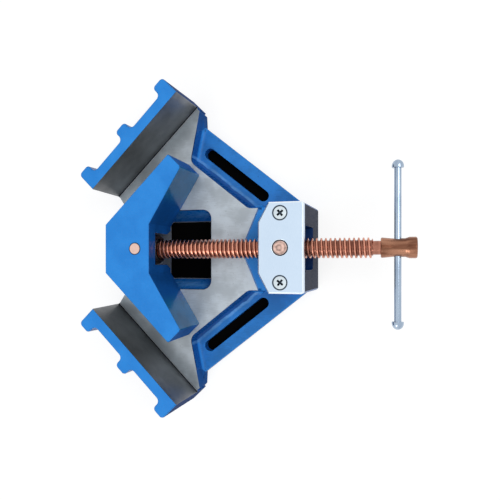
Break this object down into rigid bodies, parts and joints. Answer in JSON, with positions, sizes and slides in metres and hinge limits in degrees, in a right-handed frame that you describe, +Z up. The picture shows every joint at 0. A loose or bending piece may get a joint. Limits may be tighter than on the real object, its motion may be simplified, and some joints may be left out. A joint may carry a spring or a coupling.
{
  "type": "corner clamp",
  "caption": "Cast corner clamp: two fences at a right angle, a floating V jaw on a swivelling screw, a tommy bar and slotted mounting arms.",
  "frame": {"origin": "on the ground, straight under the pivot of the spindle nut", "axes": "+Z up, +X along the spindle from the jaw to the tommy bar, +Y to the fence that is uppermost in the picture"},
  "size_m": [0.3051, 0.3118, 0.08],
  "materials": {
    "casting_paint": "gloss enamel over cast iron, machined where the work rests",
    "plate_steel": "ground and bright zinc plated",
    "screw_steel": "bright zinc plated",
    "copper_plate": "copper plated steel",
    "head_copper": "darker copper plated steel",
    "bar_steel": "bright zinc plated",
    "washer_steel": "plain hardened steel"
  },
  "bodies": {
    "frame": {"body_casting": "casting_paint", "cover_plate": "plate_steel", "cover_screw_left": "screw_steel", "cover_screw_right": "screw_steel"},
    "nut": {"spindle_nut": "copper_plate"},
    "swivel": {"swivel_block": "copper_plate", "thrust_washer": "washer_steel", "swivel_pins": "washer_steel"},
    "spindle": {"spindle": "copper_plate", "spindle_head": "head_copper"},
    "bar": {"tommy_bar": "bar_steel", "bar_cap_left": "bar_steel", "bar_cap_right": "bar_steel"},
    "jaw": {"swivel_jaw": "casting_paint"}
  },
  "joints": [
    {"name": "nut_swivel", "type": "hinge", "parent": "frame", "child": "nut", "pos_m": [0, 0, 0.05], "axis": [0, 0, 1], "range_deg": [-3, 3]},
    {"name": "jaw_feed", "type": "slide", "parent": "nut", "child": "swivel", "axis": [-1, 0, 0], "range_m": [-0.068, 0.026]},
    {"name": "spindle_turn", "type": "hinge", "parent": "swivel", "child": "spindle", "pos_m": [0, 0, 0.05], "axis": [-1, 0, 0], "range_deg": [-6121, 2341]},
    {"name": "jaw_swivel", "type": "hinge", "parent": "swivel", "child": "jaw", "pos_m": [-0.1347, 0, 0.05], "axis": [0, 0, 1], "range_deg": [-3, 3]},
    {"name": "bar_slide", "type": "slide", "parent": "spindle", "child": "bar", "axis": [0, 1, 0], "range_m": [-0.06, 0.055]}
  ],
  "couplings": [
    {"joint": "spindle_turn", "follows": "jaw_feed", "rad_per_m": 1570.8}
  ]
}
